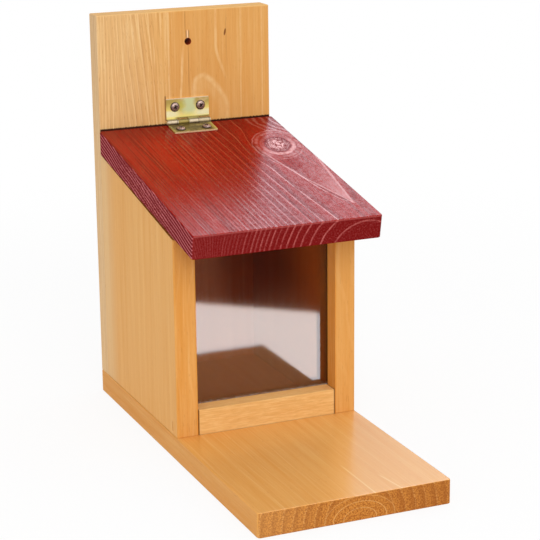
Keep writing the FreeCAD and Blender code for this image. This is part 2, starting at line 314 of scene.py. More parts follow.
class PineLook(bpy.types.PropertyGroup):
    """Colours and finish of the clear oiled boards."""
    pale: tint("Pale", "Early wood where the board is pale", (236, 189, 120))
    warm: tint("Warm", "Early wood where the board is warm", (216, 143, 58))
    light: tint("Light fibre", "Lighter fibres", (246, 207, 140))
    line: tint("Ring line", "Ends of the growth rings on planed faces", (252, 218, 158))
    dark: tint("Dark fibre", "Darker fibres and pores", (180, 112, 46))
    end: tint("End grain", "Sawn ends", (202, 132, 56))
    end_line: tint("End grain line", "Ends of the growth rings on sawn ends", (232, 178, 108))
    end_dark: tint("End grain fleck", "Dark flecks and late wood of sawn ends", (140, 72, 22))
    # Also used as painted shade in the pane's grooves and beside the hinge leaf
    gap: tint("Gap", "Dark lines where two boards meet", (84, 38, 12))
    # Painted reflection of the white background: greyer, paler wood on the boards' rear and left
    background_reflection: tint("Faded", "Greyer wood along the rear edges", (204, 176, 146))
    oil: tint("Oil", "Golden oil on the platform", (236, 160, 36))
    roughness: number("Roughness", "Roughness of the wood", 0.5)
    oil_roughness: number("Oil roughness", "Roughness of the oil film on the platform", 0.24)


class StainLook(bpy.types.PropertyGroup):
    """Colours and finish of the red stained lid."""
    ground: tint("Ground", "Early wood, which drinks the most stain", (158, 21, 8))
    deep: tint("Deep streak", "Broad darker streaks", (106, 8, 6))
    bright: tint("Bright patch", "Where the stain is thin", (204, 46, 14))
    line: tint("Ring line", "Ends of the growth rings, which stay lighter", (192, 74, 50))
    # Real pale wood, and round the knot partly painted sheen
    halo: tint("Halo", "Pale wood of the flame and round the knot", (222, 142, 136))
    end: tint("End grain", "Sawn ends", (122, 24, 24))
    end_line: tint("End grain line", "Ends of the growth rings on sawn ends", (200, 108, 104))
    ridge: tint("Ridge", "Ridges of the sawn long edges", (218, 128, 133))
    furrow: tint("Furrow", "Between those ridges", (106, 17, 25))
    knot: tint("Knot", "Heart of the knot", (112, 34, 40))
    roughness: number("Roughness", "Roughness of the stained wood", 0.45)
    coat_roughness: number("Coat roughness", "Roughness of the satin coat", 0.24)
    knot_across: length("Knot across", "Middle of the knot, right of the centre plane", 51.5)
    knot_down: length("Knot down", "Middle of the knot, down the slope from the lid's rear edge", 58)
    knot_width: length("Knot half width", "Half of the knot's short axis", 9.5)
    knot_height: length("Knot half height", "Half of the knot's long axis", 14.5)
    knot_turn: angle("Knot turn", "Lean of the knot's long axis", 18)


class MetalLook(bpy.types.PropertyGroup):
    """Colours and sizes of the hinge and its fasteners."""
    gold: tint("Gold", "Yellow passivated zinc", (255, 236, 130))
    # Used as painted reflection in bright patches low on the upper leaf
    bright: tint("Bright gold", "Where the passivation is thin", (255, 250, 200))
    lime: tint("Lime", "Where the passivation turns yellow green", (200, 196, 84))
    green: tint("Green", "Where the passivation turns green", (214, 224, 168))
    rose: tint("Rose", "Where the passivation turns rose", (240, 206, 160))
    olive: tint("Olive", "Where the passivation is thick", (178, 156, 80))
    # Ground of the lower leaf, and painted shade at the upper leaf's bend and on the knuckles
    brown: tint("Brown", "Where the lower leaf has turned dull", (92, 74, 32))
    # Also painted highlight on the upper leaf's top edge and on the knuckles' front band
    edge: tint("Edge", "Sheared edges and knuckles of the sheet", (234, 214, 180))
    steel: tint("Steel", "Zinc plated screws and staples", (198, 172, 162))
    dull: tint("Dull steel", "Dull patches of the plating", (146, 118, 108))
    shadow: tint("Shadow", "Recesses and the ring round each head", (38, 20, 12))
    roughness: number("Roughness", "Roughness of the stamped sheet", 0.3)
    dome: length("Dome", "Height of a screw's head", 2.2)
    rim: length("Rim", "Straight side of a screw's head", 0.7)
    recess: length("Recess", "Length of the cross recess over two arms", 4.2)
    slot: length("Slot", "Width of one arm of the recess", 0.9)
    recess_depth: length("Recess depth", "From the top of the head", 1.4)


class PaneLook(bpy.types.PropertyGroup):
    """Finish of the clear pane."""
    sheet: tint("Sheet", "What the sheet lets through", (232, 204, 186))
    mirror: number("Mirror", "How much stronger than plain glass each face reflects", 2.6)
    roughness: number("Roughness", "Roughness of the sheet", 0.055)
    dust: tint("Dust", "Specks along the foot of the pane", (206, 196, 188))


class StageLook(bpy.types.PropertyGroup):
    """Camera, floor and light."""
    azimuth: angle("Azimuth", "Camera, turned to the object's left", 23.059)
    elevation: angle("Elevation", "Camera, above the floor", 15.628)
    roll: angle("Roll", "Camera, about its view", -0.611)
    distance: length("Distance", "From the camera to the point it looks at", 1409.4)
    target: bpy.props.FloatVectorProperty(
        name="Target", description="Point that the camera looks at", subtype="XYZ", unit="LENGTH",
        default=(0.0434, -0.06, 0.10477))
    lens: number("Lens", "Focal length in millimetres on a 36 mm frame", 122.17)
    sky: number("Sky", "Light from above and all round", 0.9)
    bounce: number("Bounce", "Light from below the horizon", 0.5)
    key: number("Key", "Power of the soft lamp in front", 12)
    glow: number("Glow", "Brightness of the lit floor in the pane", 3.05)
    high_sheen: number("High sheen", "Brightness of the far softbox that the lid shows", 5.1)
    low_sheen: number("Low sheen", "Brightness of the low softbox that the platform shows", 1.4)


# Boards
def dress_pine(node, name, place, facing, log, warmth, show, vary, oil=None, marks=None):
    """A board of oiled pine. place gives across, along and depth from x, y and z, and facing gives the part of
    the surface's direction that runs along the fibres. warmth and show are numbers or functions of x, y and z,
    and marks lays its own colours over the wood's."""
    look = bpy.context.scene.feeder_pine
    paint = new_paint("oiled_pine_" + name)
    point = paint.place()
    across, along, depth = place(*point)
    grain = grow(paint, across, along, depth, facing(*paint.facing()), log)
    warmth, show = [value(*point) if callable(value) else value for value in (warmth, show)]
    colour = pine_colour(paint, look, grain, warmth, show, vary)
    if marks:
        colour = marks(paint, look, colour, *point)
    dress(node, pine_close(paint, look, grain, colour, oil(paint, grain) if oil else 0))


def vein(x, at, half, soft=0.5):
    """1 within half a width of the line at, with soft sides."""
    return abs(x - at).fall(half, half + soft)


def back_marks(paint, look, colour, x, y, z):
    """The arch of grain, single veins, the lifted fibres at the hanging hole, painted shade by the fibres, in the
    hole, along the lid and by the leaf, and painted reflection on the left.
    """
    front = y.fall(-0.05, 0.6)
    arch_x, arch_z = 15, 242.7
    wave = (paint.noise(z * 0.06, 2, 5, 2) - 0.5) * 2.4
    blot = paint.noise(x * 0.22, z * 0.1, 7, 3).rise(0.34, 0.58)
    right = x.rise(arch_x - 0.1, arch_x + 0.1)
    width = right * 11.2 + 8.8
    reach = (z - arch_z + right * 18).most(0) / (right * 18 + 7)
    aside = abs(x - arch_x + wave * 0.9) / width
    power = 2 - right * 0.65
    arch = ((aside ** power + reach ** power) ** (right * 0.24 + 0.5) - 1) * width
    ridge = arch.band(-2.4, 0.8, 1.6) * (z.rise(222, 244) * 0.25 + 0.25) + arch.band(-9, 0, 3) * 0.2
    outer = vein(x, wave * 0.4 + 25.5 + z.fall(238, 272) * 9, 0.4, 1.3) * z.rise(240, 262) * 0.55
    slanted = vein(x, (z - 246) * 0.065 - 3.2, 0.4, 0.9) * z.fall(262, 276)
    inner = (vein(x, wave * 0.3 - 13.2, 0.5) * 0.6 + slanted + vein(x, wave * 0.3 + 46, 0.4) * 0.4
             + vein(x, wave * -0.4 + 64, 0.4) * 0.4) * 0.8
    pale = (ridge + outer + inner).least(1) * (blot * 0.5 + 0.5) * front

    beside, above = x - HOLE_X, z - HOLE_Z
    rip = above.band(2.5, 8.5, 1)
    sliver = beside.band(-0.8, 0.5, 0.3) * rip * front
    # Painted shadow on both sides of the lifted sliver
    shadow = (beside.band(-1.5, -1, 0.3) + beside.band(0.6, 1.2, 0.3)) * rip
    below = vein(x, wave * 0.15 + 2.9, 0.1, 0.4) * z.band(238, 272, 9) * 0.38
    fork = vein(x, 0.6, 0.15, 0.4) * z.band(285, 299, 4) * 0.28
    fleck = oval(x - (z - 280) * 0.16, z, (33, 281.3), (0.75, 2.6)).fall(0.5, 1.5)
    split = vein(x, wave * 0.5 + 34.2, 0.1, 0.4) * z.band(264, 294, 8) * 0.22
    # Dark hairlines, cracks and a fleck, with the painted shadow by the sliver
    tear_and_shadow = (shadow + below + fork + fleck + split).least(1) * front
    # Painted shade inside the hanging hole and on its rim
    bore_shade = distance(beside, above).fall(HOLE_RADIUS - 0.05, HOLE_RADIUS + 0.35)
    # Painted shadow: a dark line on the board just above where the lid meets it
    ragged = z + (paint.noise(x * 0.7, 4, 1, 3) - 0.5) * 1.6
    stain = ragged.fall(LID_LINE, LID_LINE + 0.9) * z.rise(205, 206) * front
    # Painted shadow beside the hinge leaf's left edge
    leaf_edge_shadow = x.band(LEAF_LEFT - 1, LEAF_LEFT + 0.3, 0.2) * z.band(216, 235, 0.8) * front
    # Painted reflection of the white background on the left face and the left of the front
    edge = x.fall(0.1 - BACK_HALF, 1 - BACK_HALF) * 0.25 + x.fall(-50, -10) * 0.16
    return paint.over(
        colour,
        (pale * 0.75, look.line),
        (tear_and_shadow * 0.85, shade(104, 48, 16)),
        (sliver * 0.9, shade(250, 208, 160)),
        (bore_shade * 0.94, shade(150, 40, 12)),
        (z.rise(BACK_TOP - 1, BACK_TOP - 0.4) * 0.75, look.pale),
        (leaf_edge_shadow * 0.6, look.gap),
        (edge, look.background_reflection),
        (stain, shade(54, 6, 4)))


class FEEDER_OT_back_board(bpy.types.Operator):
    """Dresses the tall back board: an arch of grain on the right, fine straight grain on the left"""
    bl_idname = "feeder.back_board"
    bl_label = "Back board"

    def execute(self, context):
        log = Log(across=16, depth=60, span=49.5, crowd=3.6, wander=7, ripple=3, line=1, seed=3)
        dress_pine(
            "back_board", "back", lambda x, y, z: (x - (255 - z) * 0.09 * x.band(-54, -24, 12), z, y),
            lambda x, y, z: z, log,
            warmth=lambda x, y, z: x.rise(-64, -14) * 0.22 + x.rise(-19, -7) * 0.24 + 0.12,
            show=lambda x, y, z: x.fall(-24, -4) * 0.52 + 0.14, vary=0.9, marks=back_marks)
        return {"FINISHED"}


def base_marks(paint, look, colour, x, y, z):
    """Two light lines near the platform's front edge, and the quiet wood round the pith of the sawn end."""
    top = z.rise(BASE_TOP - 0.5, BASE_TOP - 0.1)
    first = vein(x, 13.8, 0.3) * y.fall(-258, -246)
    second = vein(x + (y + 300) * 0.14, 33.2, 0.3) * y.fall(-282, -272)
    end = y.fall(BASE_FRONT + 0.2, BASE_FRONT + 0.8)
    heart = oval(x, z, (BASE_PITH, 1.5), (19.5, 12)).root()
    saw = paint.noise((x * 0.86 + z * 0.5) * 0.9, (z * 0.86 - x * 0.5) * 0.35, 3, 4, 0.6)
    crumb = paint.noise(x * 0.9, z * 0.9, 8, 3, 0.6)
    quiet = paint.mix(crumb.rise(0.44, 0.62) * 0.8, look.end, look.end_dark)
    arcs = heart.band(0.98, 1.01, 0.02) + heart.band(0.6, 0.63, 0.02) * 0.8 + heart.band(1.3, 1.33, 0.02) * 0.6
    return paint.over(
        colour,
        # Painted shade: the left side face a little darker
        (x.fall(0.2 - BASE_HALF, 0.6 - BASE_HALF) * 0.1, look.dark),
        (top * 0.15, look.oil),
        (heart.fall(1, 1.5) * end, quiet),
        (arcs * crumb.rise(0.34, 0.52) * end * 0.8, look.end_line),
        (saw.rise(0.52, 0.64) * end * 0.45, look.end_dark),
        (x.rise(-10, 70) * end * 0.22, look.end_dark),
        (x.fall(-70, -10) * end * 0.18, look.end_line),
        ((first + second).least(1) * top * 0.45, look.line))


class FEEDER_OT_base_board(bpy.types.Operator):
    """Dresses the base with its landing platform, sawn with the pith at its underside"""
    bl_idname = "feeder.base_board"
    bl_label = "Base board"

    def execute(self, context):
        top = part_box("base_board")[1].z / MM
        log = Log(across=BASE_PITH, depth=16, span=9, crowd=1.05, wander=6, ripple=2.5, line=1.4, seed=11)
        dress_pine(
            "base_board", "base", lambda x, y, z: (x, y, top - z), lambda x, y, z: y, log,
            warmth=lambda x, y, z: x.fall(-60, 20) * 0.14 + 0.56, show=0.13, vary=0.8, marks=base_marks,
            oil=lambda paint, grain: paint.facing()[2].rise(0.7, 0.95) * (grain.fibre * 0.5 + 0.7))
        return {"FINISHED"}


class FEEDER_OT_side_panels(bpy.types.Operator):
    """Dresses both side panels, each from its own log, with painted shade in the pane's grooves"""
    bl_idname = "feeder.side_panels"
    bl_label = "Side panels"

    def execute(self, context):
        for node, pith, seed in (("left_side_panel", -96, 21), ("right_side_panel", -40, 33)):
            log = Log(across=pith, depth=38, span=14, crowd=1.5, wander=22, ripple=3, line=1, seed=seed)
            dress_pine(
                node, node.split("_")[0], lambda x, y, z: (y, z, PANEL_OUTER - abs(x)), lambda x, y, z: z, log,
                warmth=self.warmth, show=0.1, vary=0.85, marks=self.marks)
        return {"FINISHED"}

    @staticmethod
    def warmth(x, y, z):
        """Paler at the rear as painted reflection of the background, and warmer on the front edge and on the strip of
        the inside before the pane.
        """
        inside = abs(x).fall(PANEL_INNER + 0.3, PANEL_INNER + 1) * (y.fall(-140, -138) * 0.45 + 0.05)
        return y.fall(-24, -8) * 0.36 + y.fall(PANEL_FRONT + 0.4, PANEL_FRONT + 2) * 0.26 + inside + 0.14

    @staticmethod
    def marks(paint, look, colour, x, y, z):
        """Painted shade in the pane's grooves, the joint with the base, pin knots on the front edge, and painted
        reflection of the background on the rear.
        """
        low, high = [corner.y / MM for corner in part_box("front_pane")]
        # Painted shade in the pane's grooves
        groove_shade = abs(x).band(PANEL_INNER + 0.2, PANEL_INNER + 7, 0.15) * y.band(low - 1.2, high + 1.2, 0.2)
        pin = paint.noise(y * 0.3, z * 0.12, 60, 1).rise(0.745, 0.775)
        pin = pin * y.fall(PANEL_FRONT + 0.4, PANEL_FRONT + 2)
        foot = z.fall(BASE_TOP + 0.3, BASE_TOP + 0.8) * 0.5
        return paint.over(
            colour,
            ((foot + pin * 0.6).least(1), look.dark),
            # Painted reflection of the white background along the rear
            (y.rise(-34, -4) * 0.3, look.background_reflection),
            (groove_shade * 0.9, look.gap))


class FEEDER_OT_front_sill(bpy.types.Operator):
    """Dresses the low rail between the panels"""
    bl_idname = "feeder.front_sill"
    bl_label = "Front sill"

    def execute(self, context):
        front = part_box("front_sill")[0].y / MM
        log = Log(across=90, depth=-30, span=16, crowd=1.5, wander=10, ripple=2, line=1, seed=47)
        dress_pine(
            "front_sill", "sill", lambda x, y, z: (z, x, y - front), lambda x, y, z: x, log,
            warmth=0.26, show=0.16, vary=0.7, marks=self.marks)
        return {"FINISHED"}

    @staticmethod
    def marks(paint, look, colour, x, y, z):
        """Short saw dashes, and the dark joints with the panels and the base."""
        low, high = [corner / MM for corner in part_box("front_sill")]
        dash = paint.noise(x * 0.16, y * 1.3, z * 1.3, 2)
        joint = abs(x).rise(high.x - 0.9, high.x - 0.3) + z.fall(low.z + 0.3, low.z + 0.8) * 0.6
        return paint.over(
            colour,
            (dash.rise(0.5, 0.66) * 0.24, look.line),
            (dash.fall(0.34, 0.46) * 0.12, look.dark),
            (joint.least(1) * 0.6, look.gap))


def lid_plane():
    """Centre point and direction of the lid's largest face."""
    mesh = frame["nodes"]["lid_board"].data
    face = max((p for p in mesh.polygons if p.normal.z > 0.5), key=lambda p: p.area)
    return Vector(face.center), Vector(face.normal)


class FEEDER_OT_lid(bpy.types.Operator):
    """Dresses the red stained lid with its flame grain and its knot"""
    bl_idname = "feeder.lid"
    bl_label = "Lid"

    def execute(self, context):
        look = context.scene.feeder_stain
        centre, normal = lid_plane()
        down = Vector((0, -normal.z, normal.y))
        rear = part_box("lid_board")[1].y
        start = (centre + down * ((rear - centre.y) / down.y)) / MM
        paint = new_paint("red_stained_pine")
        x, y, z = paint.place()
        nx, ny, nz = paint.facing()
        # Millimetres down the slope from the upper face's rear edge, and under that face
        dy, dz = y - start.y, z - start.z
        slope = dy * down.y + dz * down.z
        under = (dy * normal.y + dz * normal.z) * -1

        knot = self.knot(paint, look, x, slope, under)
        lean = 0.098
        log = Log(across=60, depth=11, span=28, crowd=2.2, wander=5, ripple=1.8, line=1.7, seed=5)
        grain = grow(
            paint, x - under * x.fall(-71, -45) * 0.56, slope, under, ny * down.y + nz * down.z, log,
            climb=slope * -lean, lean=lean, bend=knot.fall(0.8, 3.6) * -13)
        face = 1 - grain.end
        line = grain.line * (1 - x.rise(56, 62) * slope.rise(118, 150))
        weave = paint.noise(x * 0.55 + slope * 0.05, slope * 0.24 - x * 0.07, under + 3.5, 3, 0.75)
        dust, dusk, halo, sweep = [mask * face for mask in self.knot_marks(paint, look, x, slope, knot, weave)]
        flame = self.flame(x, slope) * face
        hairline = paint.noise(x * 0.9, slope * 0.008, under * 0.9, 1).fall(0.36, 0.5)
        bright = oval(x, slope, (-30, 62), (30, 48)).fall(0.1, 1.2)
        side = abs(nx).rise(0.6, 0.85)
        # Painted shade: near black along the rear edge, where the lid meets the back board
        gap = y.rise(rear / MM - 1.4, rear / MM - 0.4)
        colour = paint.over(
            look.ground,
            (grain.streak.rise(0.46, 0.76) * 0.45, look.deep),
            (bright * 0.22, look.bright),
            # Painted shade: darker towards the back board
            (y.rise(-40, 0) * 0.55, look.deep),
            (grain.fibre.rise(0.54, 0.8) * 0.16, look.line),
            (grain.fibre.fall(0.26, 0.46) * 0.42, look.deep),
            (hairline * 0.6, look.deep),
            (grain.hollow * x.rise(-50, 20) * 0.45, look.deep),
            (line * (x.rise(-10, 45) * 0.5 + 0.05), look.line),
            # Pale rings and specks of the knot: partly pale wood, partly painted sheen
            ((halo + sweep * 0.25).least(1) * 0.75, look.halo),
            (flame * 0.5, look.halo),
            (dusk * 0.7, look.knot),
            (dust.least(1), look.halo),
            (side, self.ridges(paint, look, x, slope, under)),
            (grain.end, self.sawn(paint, look, grain, x, under)),
            (gap, shade(48, 6, 4)))

        cup = (x - 25) * (x - 25) * 0.007
        relief = grain.line * 0.6 + grain.fibre * 0.6 + halo * 0.4 + cup
        ghost = line * 0.65 + flame * 0.38 + halo * 0.3 + sweep * 0.6 + dust * 0.65
        pit = oval(x, slope, (46, 90), (9, 18)).fall(0.2, 1.4)
        coat = (weave.rise(0.36, 0.64) * (0.26 - flame * 0.1) + ghost + 0.24) * (1 - dusk * 0.45) * (1 - pit * 0.35)
        coat = coat * nz.rise(0.5, 0.9)
        rough = grain.end * 0.15 - grain.line * 0.06 + look.roughness
        dress("lid_board", paint.close(paint.gloss(
            Base_Color=colour, Roughness=rough, Normal=paint.bump(relief, 0.06), Coat_Weight=coat.least(1),
            Coat_Roughness=look.coat_roughness, Specular_IOR_Level=0)))
        return {"FINISHED"}

    @staticmethod
    def sawn(paint, look, grain, x, under):
        """Sawn ends: pale ring lines, dark and pale flecks, and a painted highlight along the upper edge."""
        return paint.over(
            look.end,
            (grain.line * (x.rise(-60, 10) * 0.65 + 0.22), look.end_line),
            (grain.fleck.rise(0.5, 0.62) * 0.5, look.deep),
            (grain.fleck.fall(0.34, 0.5) * (x.rise(0, 50) * 0.14 + 0.12), look.end_line),
            # Painted highlight along the upper arris
            (under.fall(0.5, 1.6) * 0.35, look.end_line))

    @staticmethod
    def flame(x, slope):
        """Wedge of pale wood under the knot, brightest along its right leg."""
        right = 72.4 - (slope - 72.9) * 0.122
        left = (slope - 87.3) * 0.177 + 37.6 + (slope - 119.5).most(0) * 0.133
        ends = slope.rise(66, 84) * slope.fall(171, 177)
        leg = abs(x - right).fall(0.3, 1.4) * 0.9
        seam = abs(x - left).fall(0.2, 1.2) * 0.8
        wedge = (right - x).rise(-0.4, 0.6) * (right - x).fall(3, 18) * (x - left).rise(-0.4, 1)
        return ((leg + seam).most(wedge * (slope.rise(110, 168) * 0.45 + 0.12)) * ends).least(1)

    @staticmethod
    def ridges(paint, look, x, slope, under):
        """Sawn long edge: pale ridges along the board with dark furrows, broken here and there."""
        drift = (paint.noise(slope * 0.014, 3, 1) - 0.5) * 5
        middle = slope.band(55, 150, 22)
        jitter = (paint.noise(slope * 0.05, under * 0.2, 7) - 0.5) * (middle * 3 + 0.9)
        row = ((under - slope * 0.13 + drift + jitter) * 0.35).fraction()
        saw = paint.noise(slope * 0.5, under * 1.1, x, 3, 0.65)
        wear_and_shade = (paint.noise(slope * 0.03, under * 0.22, 17).rise(0.36, 0.6) * 0.7 + 0.25).most(0.9 - middle)
        crest = row.rise(0.4, 0.6) * row.fall(0.66, 0.84) * saw.rise(0.34, 0.5).most(0.8 - middle) * wear_and_shade
        return paint.over(
            paint.mix(saw.rise(0.42, 0.6) * (middle * 0.3 + 0.28), look.furrow, look.end_line),
            (row.fall(0.1, 0.36) * 0.8, look.furrow),
            (crest * 0.9, look.ridge))

    @staticmethod
    def knot(paint, look, x, slope, under):
        """Distance from the knot's middle, where 1 is the rim of its heart."""
        turn = look.knot_turn
        aside = x - look.knot_across / MM
        along = slope - look.knot_down / MM
        wide = (aside * math.cos(turn) + along * math.sin(turn)) / (look.knot_width / MM)
        tall = (along * math.cos(turn) - aside * math.sin(turn)) / (look.knot_height / MM)
        rough_edge = (paint.noise(x * 0.2, slope * 0.2, under * 0.2) - 0.5) * 0.25
        return distance(wide, tall) + rough_edge

    @staticmethod
    def knot_marks(paint, look, x, slope, knot, weave):
        """Pale specks in the knot's heart and pale rings round it, both partly painted sheen, its dark rim, and the
        sweeps round it.
        """
        blot = paint.noise(x * 0.12, slope * 0.12, 9, 3)
        toward = (x - look.knot_across / MM) * 0.5 + (slope - look.knot_down / MM) * 0.86
        lower = (toward / (knot * 13)).rise(-0.5, 0.8)
        ring = (knot * 6.5 + weave * 2.2).fraction().rise(0.25, 0.65)
        # Pale specks of the heart: partly pale wood, partly painted sheen
        dust = (ring * 0.5 + knot.fall(0.3, 0.75) * 0.6) * weave.rise(0.38, 0.54) * knot.fall(0.94, 1.02)
        dusk = (knot.fall(1, 1.1) - dust).most(0)
        swept = x - slope.rise(8, 62) * 22
        sweep = ((swept / 6 + blot * 0.8).fraction().band(0.26, 0.6, 0.18) * swept.rise(44, 50)
                 * slope.fall(36, 60) * knot.rise(1.7, 2.1))
        patch = blot.rise(0.35, 0.6)
        halo = (knot.band(1.14, 1.44, 0.1) * (lower * 0.8 + 0.2) + knot.band(1.6, 1.84, 0.14) * patch * 0.5
                + knot.band(1.98, 2.06, 0.06) * (patch * 0.4 + 0.25))
        return dust, dusk, halo * (weave * 0.9 + 0.45), sweep * (weave * 0.6 + 0.5)


# Pane
class FEEDER_OT_front_pane(bpy.types.Operator):
    """Makes the pane a clear sheet that mirrors the floor, with dust along its foot"""
    bl_idname = "feeder.front_pane"
    bl_label = "Front pane"

    def execute(self, context):
        look = context.scene.feeder_pane
        sill_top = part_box("front_sill")[1].z / MM
        paint = new_paint("clear_acrylic")
        x, y, z = paint.place()
        clear = paint.node("ShaderNodeBsdfTransparent", (), {"Color": (*look.sheet, 1)})
        mirror = paint.node(
            "ShaderNodeBsdfAnisotropic", (), {"Color": (1, 1, 1, 1), "Roughness": look.roughness})
        share = paint.node("ShaderNodeFresnel", (), {"IOR": 1.49}) * look.mirror
        sheet = paint.blend(share.least(1), clear, mirror)
        speck = paint.noise(x * 1.4, y, z * 1.4, 3, 0.7).rise(0.46, 0.6)
        foot = z.band(sill_top, sill_top + 0.9, 0.4) * speck
        dust = paint.gloss(Base_Color=(*look.dust, 1), Roughness=0.8)
        paint.close(paint.blend(foot * 0.7, sheet, dust))
        dress("front_pane", paint.owner)
        return {"FINISHED"}


# Hinge and fasteners
def zinc_paint(look, name, colour, heads=()):
    """Stamped sheet with yellow passivation. colour gives the sheet's colour from the paint, x, y and z, and
    each screw head gets a dark ring."""
    paint = new_paint(name)
    x, y, z = paint.place()
    body = colour(paint, x, y, z)
    for head in heads:
        away = distance(*[axis - at / MM for axis, at in zip((x, y, z), head)])
        body = paint.mix(away.band(3.3, 3.8, 0.2) * 0.8, body, look.shadow)
    cloud = paint.noise(x * 0.3, y * 0.3, z * 0.3, 3)
    grit = paint.noise(x * 3, y * 3, z * 3, 3)
    return paint.close(paint.gloss(
        Base_Color=body, Metallic=0.1, Roughness=cloud * 0.16 + look.roughness, Normal=paint.bump(grit, 0.012)))


class FEEDER_OT_hinge(bpy.types.Operator):
    """Dresses the two leaves and the pin in yellow passivated zinc"""
    bl_idname = "feeder.hinge"
    bl_label = "Hinge"

    def execute(self, context):
        look = context.scene.feeder_metal
        pin = Vector(frame["joints"][0]["pos_m"]) / MM
        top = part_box("hinge_upper_leaf")[1].z / MM
        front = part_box("hinge_lower_leaf")[0].y / MM
        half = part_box("hinge_upper_leaf")[1].x / MM

        def upper(paint, x, y, z):
            reach = (z - pin.z) / (top - pin.z)
            drift = paint.noise(x * 0.12, 1, z * 0.14, 2)
            spot = vein(x + drift * 8, 6.5, 1.5, 5)
            return paint.over(
                look.gold,
                (reach.rise(0.42, 0.88) * 0.9, look.olive),
                (drift.rise(0.5, 0.7) * 0.5, look.rose),
                (vein(x, -4, 1, 4) * reach.band(0.4, 0.9, 0.1) * 0.7, look.lime),
                (spot * reach.rise(0.15, 0.5), look.green),
                # Painted reflection: bright patches low on the leaf
                (abs(x).rise(3, 11) * reach.band(0.22, 0.47, 0.07) * 0.9, look.bright),
                # Painted shade in the bend above the knuckles
                (reach.band(0.13, 0.19, 0.03) * x.rise(-11, -7) * 0.75, look.brown),
                (reach.fall(0.1, 0.14), self.barrel(paint, look, z - pin.z, look.edge)),
                (self.seams(x) * reach.fall(0.1, 0.16), look.shadow),
                # Painted highlight along the top edge
                (z.rise(top - 0.7, top - 0.3), look.edge))

        def lower(paint, x, y, z):
            reach = (pin.y - y) / (pin.y - front)
            drift = paint.noise(x * 0.15, y * 0.2, 5, 2)
            crest = paint.mix(x.rise(2, 6) * 0.8, look.olive, look.edge)
            return paint.over(
                look.brown,
                (drift.rise(0.44, 0.7) * 0.6, look.olive),
                (abs(x).rise(half - 5, half) * 0.4, look.gold),
                (reach.fall(0.1, 0.2), self.barrel(paint, look, z - pin.z, crest)),
                (self.seams(x) * reach.fall(0.1, 0.16), look.shadow),
                (reach.rise(0.955, 0.985) * 0.8, look.rose))

        def round_bar(paint, x, y, z):
            return paint.mix(paint.noise(x, y, z).rise(0.4, 0.6), look.olive, look.edge)

        upper_heads = screw_heads("upper_leaf_screws", UPPER_OUT)[0]
        lower_heads = screw_heads("lid_leaf_screws", lid_plane()[1])[0]
        dress("hinge_upper_leaf", zinc_paint(look, "yellow_zinc_upper", upper, upper_heads))
        dress("hinge_lower_leaf", zinc_paint(look, "yellow_zinc_lower", lower, lower_heads))
        dress("hinge_pin", zinc_paint(look, "yellow_zinc_pin", round_bar))
        return {"FINISHED"}

    @staticmethod
    def barrel(paint, look, height, crest):
        """Knuckle with a painted highlight band along its front and painted dark reflection above and below it.
        height is over the pin's axis.
        """
        return paint.mix(height.band(-0.5, 1.2, 0.45) * 0.8 + 0.2, look.brown, crest)

    @staticmethod
    def seams(x):
        """Where one knuckle meets the next."""
        return abs((x / KNUCKLE).fraction() - 0.5).rise(0.43, 0.49) * 0.6


def lathe(outline, steps=48):
    """Mesh of revolution about Z of (radius, height) points that start and end on the axis."""
    mesh = bmesh.new()
    rows = []
    for radius, height in outline[1:-1]:
        rows.append([mesh.verts.new((radius * math.cos(turn), radius * math.sin(turn), height))
                     for turn in (2 * math.pi * k / steps for k in range(steps))])
    tip = mesh.verts.new((0, 0, outline[0][1]))
    crown = mesh.verts.new((0, 0, outline[-1][1]))
    for k in range(steps):
        nxt = (k + 1) % steps
        mesh.faces.new((tip, rows[0][nxt], rows[0][k]))
        for low, high in zip(rows, rows[1:]):
            mesh.faces.new((low[k], low[nxt], high[nxt], high[k]))
        mesh.faces.new((crown, rows[-1][k], rows[-1][nxt]))
    return mesh


def dome_ball(look, head_radius):
    """Radius of the ball that a pan head's dome is cut from, in millimetres."""
    rise = (look.dome - look.rim) / MM
    return (head_radius ** 2 + rise ** 2) / (2 * rise)


def pan_head_mesh(look, head_radius, shank_radius, shank_length):
    """Pan head screw with its seat at z = 0: domed head, rounded rim, shank with a cut thread's crests."""
    top, rim = look.dome / MM, look.rim / MM
    ball = dome_ball(look, head_radius)
    core, root, crest = shank_radius * 0.8, shank_radius * 0.72, shank_radius * 0.98
    pitch, point, neck = 1.2, 3, 1
    outline = [(0, -shank_length), (0.25, -shank_length + 0.3), (core, -shank_length + point)]
    for turn in range(int((shank_length - point - neck) / pitch)):
        at = -shank_length + point + 0.3 + turn * pitch
        outline += [(root, at), (crest, at + 0.45), (crest, at + 0.55)]
    outline += [(core, -0.2), (core, 0), (head_radius - 0.15, 0), (head_radius, 0.15), (head_radius, rim - 0.1)]
    steps = 9
    for step in range(1, steps):
        radius = head_radius * math.cos(math.pi / 2 * step / steps)
        outline.append((radius, top - ball + math.sqrt(ball ** 2 - radius ** 2)))
    outline.append((0, top))
    return lathe([(r * MM, h * MM) for r, h in outline])


def cross_cutter(look):
    """Two crossed wedges that cut a driver's recess."""
    mesh = bmesh.new()
    for turn in (0, math.pi / 2):
        corners = []
        for height, half in ((look.dome - look.recess_depth, look.recess * 0.17), (look.dome, look.recess / 2)):
            for sx, sy in ((-1, -1), (1, -1), (1, 1), (-1, 1)):
                point = Vector((sx * half, sy * look.slot / 2, height))
                point.rotate(Matrix.Rotation(turn, 3, "Z"))
                corners.append(mesh.verts.new(point))
        low, high = corners[:4], corners[4:]
        mesh.faces.new(low[::-1])
        mesh.faces.new(high)
        for k in range(4):
            nxt = (k + 1) % 4
            mesh.faces.new((low[k], low[nxt], high[nxt], high[k]))
    return mesh


def new_object(name, data):
    made = bpy.data.objects.new(name, data)
    bpy.context.scene.collection.objects.link(made)
    return made


